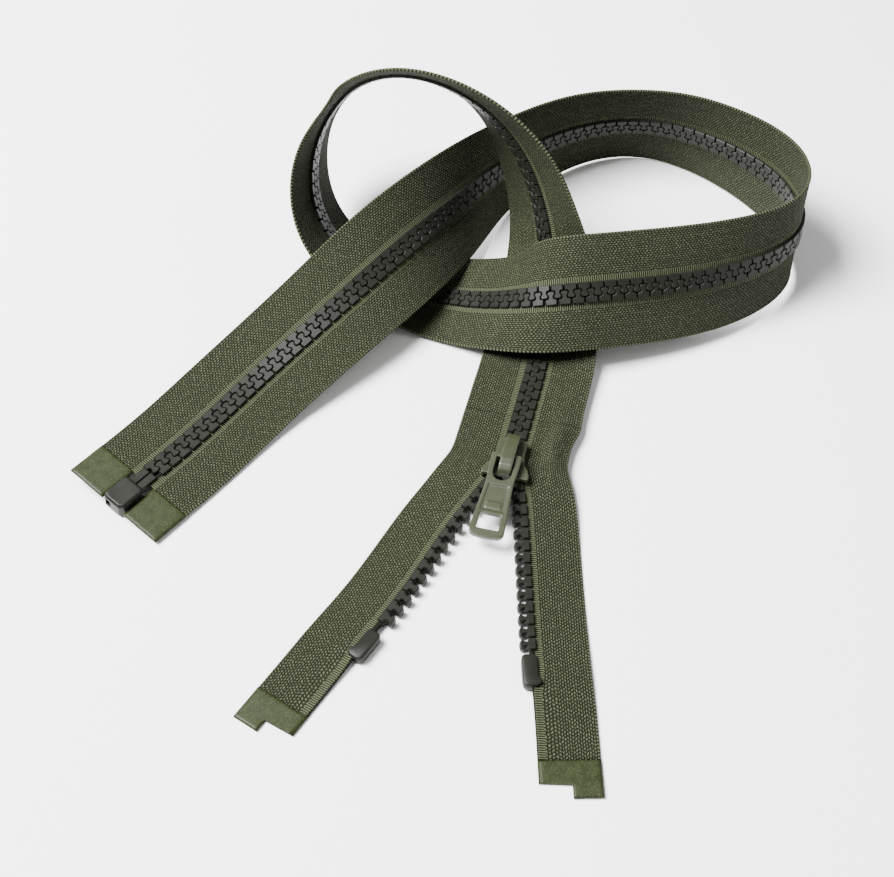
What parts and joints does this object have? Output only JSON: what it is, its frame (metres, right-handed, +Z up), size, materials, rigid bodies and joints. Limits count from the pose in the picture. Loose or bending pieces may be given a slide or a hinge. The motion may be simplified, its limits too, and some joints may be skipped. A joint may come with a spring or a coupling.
{
  "type": "zipper",
  "caption": "Open-end zipper with moulded teeth on woven tapes, lying in loose loops, closed from its retainer box to an auto-lock slider with a hinged pull.",
  "frame": {"origin": "on the slider's flat underside, below the point where the two rows of teeth part; the zipper lies on the plane z = 0", "axes": "+Z up, -Y towards the open tails, +Y towards the loops, +X to the right as seen from the open tails"},
  "size_m": [0.203, 0.2215, 0.0632],
  "materials": {
    "tape": "woven polyester tape, matt olive with light flecks",
    "film": "clear reinforcing film fused over the tape, satin",
    "teeth": "moulded acetal, dark grey-green, low sheen",
    "box_plastic": "moulded acetal, dark grey-green, low sheen",
    "slider_paint": "olive lacquer on die-cast zinc, satin",
    "pull_paint": "olive lacquer on die-cast zinc, satin",
    "spring_steel": "plain spring steel"
  },
  "bodies": {
    "chain": {"left_tape_box_run": "tape", "left_teeth_box_run": "teeth", "right_tape_box_run": "tape", "right_teeth_box_run": "teeth", "left_tape_outer_loop": "tape", "left_teeth_outer_loop": "teeth", "right_tape_outer_loop": "tape", "right_teeth_outer_loop": "teeth", "left_tape_cross_run": "tape", "left_teeth_cross_run": "teeth", "right_tape_cross_run": "tape", "right_teeth_cross_run": "teeth", "left_tape_inner_loop": "tape", "left_teeth_inner_loop": "teeth", "right_tape_inner_loop": "tape", "right_teeth_inner_loop": "teeth", "left_tape_arch": "tape", "left_teeth_arch": "teeth", "right_tape_arch": "tape", "right_teeth_arch": "teeth", "left_tape_slider_run": "tape", "left_teeth_slider_run": "teeth", "right_tape_slider_run": "tape", "right_teeth_slider_run": "teeth", "left_box_end_film": "film", "right_box_end_film": "film", "retainer_box": "box_plastic", "retainer_pin": "box_plastic", "insertion_pin": "box_plastic"},
    "left_tail": {"left_tail_tape": "tape", "left_tail_film": "film", "left_tail_teeth": "teeth", "left_top_stop": "teeth"},
    "right_tail": {"right_tail_tape": "tape", "right_tail_film": "film", "right_tail_teeth": "teeth", "right_top_stop": "teeth"},
    "slider": {"slider_body": "slider_paint", "slider_cap": "slider_paint", "pawl_spring": "spring_steel"},
    "pawl": {"lock_pawl": "spring_steel"},
    "pull": {"pull_tab": "pull_paint"}
  },
  "joints": [
    {"name": "slider_travel", "type": "slide", "parent": "chain", "child": "slider", "axis": [0.2453, 0.9694, 0], "range_m": [0, 0.016], "deforming": ["left_tail_tape", "right_tail_tape", "left_tail_teeth", "right_tail_teeth", "left_tape_slider_run", "right_tape_slider_run", "left_teeth_slider_run", "right_teeth_slider_run"]},
    {"name": "left_tail_swing", "type": "hinge", "parent": "chain", "child": "left_tail", "pos_m": [0.00393, 0.01551, 0.00285], "axis": [0, 0, -1], "range_deg": [0, 8]},
    {"name": "right_tail_swing", "type": "hinge", "parent": "chain", "child": "right_tail", "pos_m": [0.00393, 0.01551, 0.00285], "axis": [0, 0, 1], "range_deg": [0, 8]},
    {"name": "pull_hinge", "type": "hinge", "parent": "slider", "child": "pull", "pos_m": [-0.00034, -0.00136, 0.0074], "axis": [-0.9694, 0.2453, 0], "range_deg": [0, 160]},
    {"name": "pawl_lift", "type": "slide", "parent": "slider", "child": "pawl", "axis": [0, 0, 1], "range_m": [0, 0.0005], "stiffness_N_per_m": 200}
  ],
  "couplings": [
    {"joint": "left_tail_swing", "follows": "slider_travel", "rad_per_m": 8.7},
    {"joint": "right_tail_swing", "follows": "slider_travel", "rad_per_m": 8.7}
  ]
}
